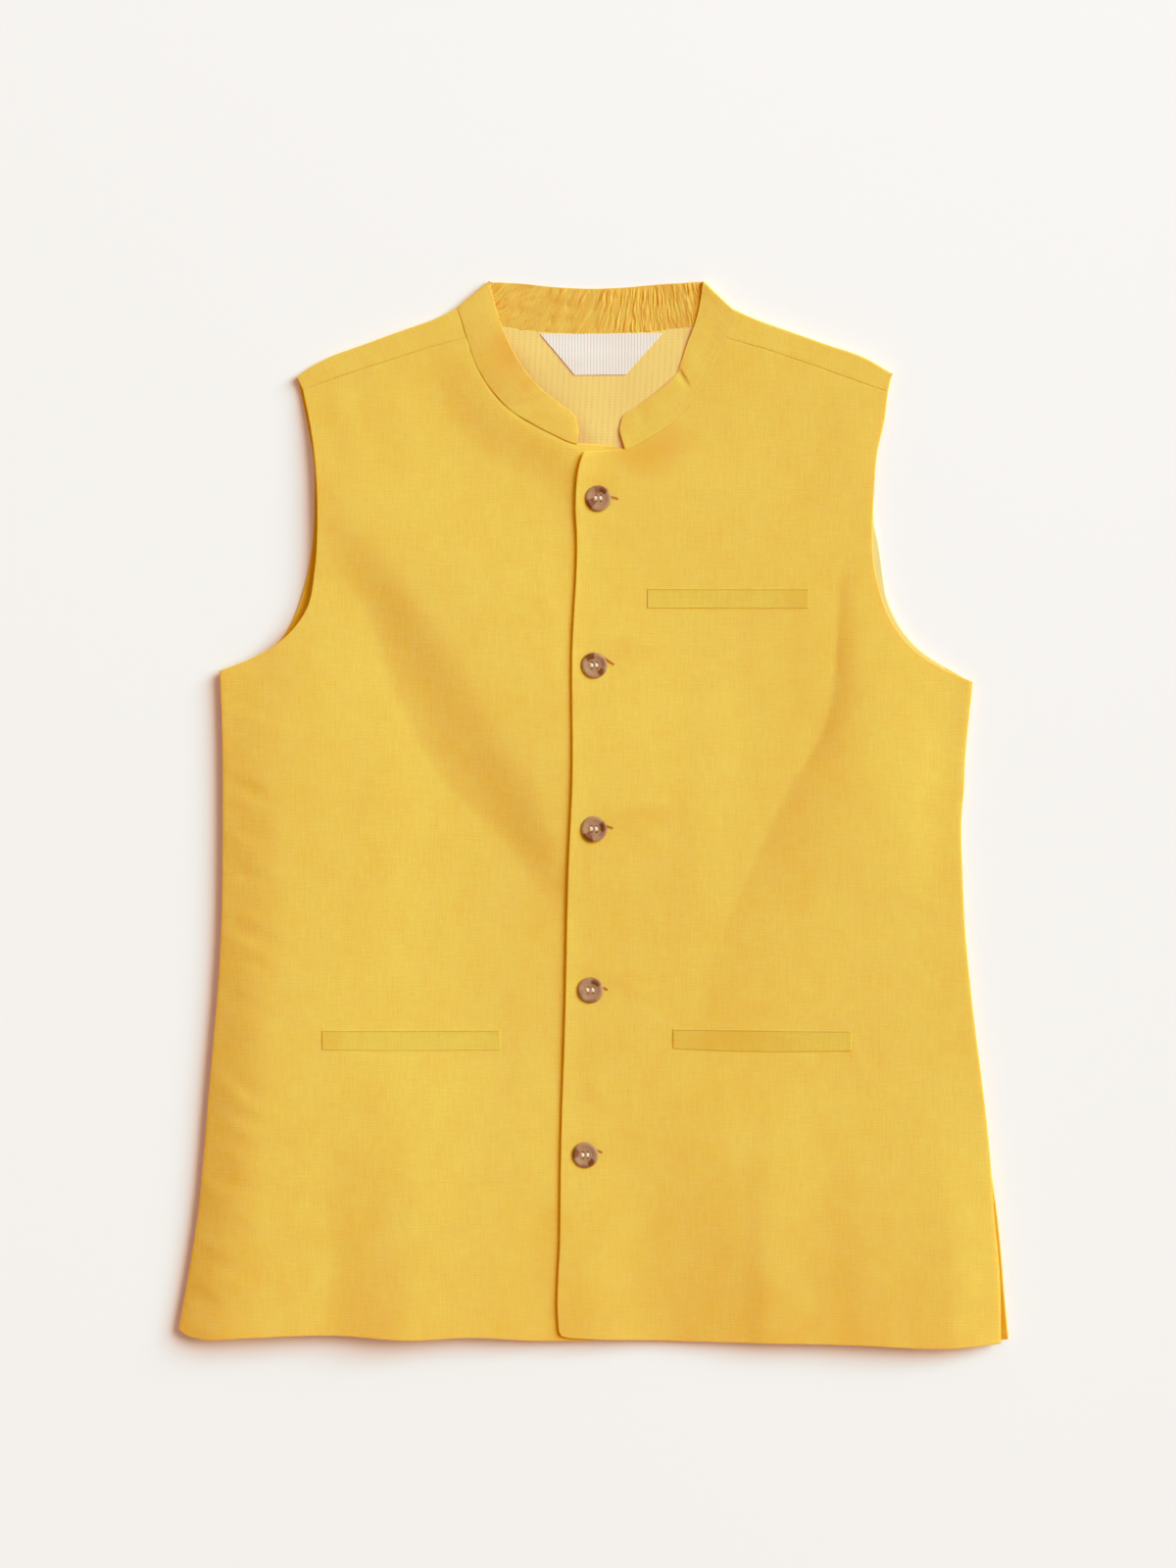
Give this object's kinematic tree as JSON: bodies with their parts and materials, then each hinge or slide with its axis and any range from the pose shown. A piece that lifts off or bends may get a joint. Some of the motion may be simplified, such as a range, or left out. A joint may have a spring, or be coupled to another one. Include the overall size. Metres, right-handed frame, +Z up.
{
  "type": "nehru jacket",
  "caption": "Sleeveless band-collar jacket laid flat and buttoned: back turned over the shoulders, lapped fronts, folded collar, pocket welts and round buttons.",
  "frame": {"origin": "on the surface that the jacket lies on, under the middle of its outline", "axes": "+X to the wearer's left, +Y from the hem to the collar, +Z up from the surface"},
  "size_m": [0.5839, 0.7498, 0.0118],
  "materials": {
    "shell_cloth": "yellow plain weave with fine slubs, matte",
    "lining_cloth": "pale yellow striped lining, slightly smooth",
    "label_tape": "off-white ribbed tape",
    "button_horn": "brown horn-like resin, satin"
  },
  "bodies": {
    "root": {"back": "shell_cloth", "back_lining": "lining_cloth", "front_right": "shell_cloth", "front_left": "shell_cloth", "collar": "shell_cloth", "label": "label_tape", "chest_welt": "shell_cloth", "pocket_welt_right": "shell_cloth", "pocket_welt_left": "shell_cloth", "button_1": "button_horn", "button_2": "button_horn", "button_3": "button_horn", "button_4": "button_horn", "button_5": "button_horn"}
  },
  "joints": []
}
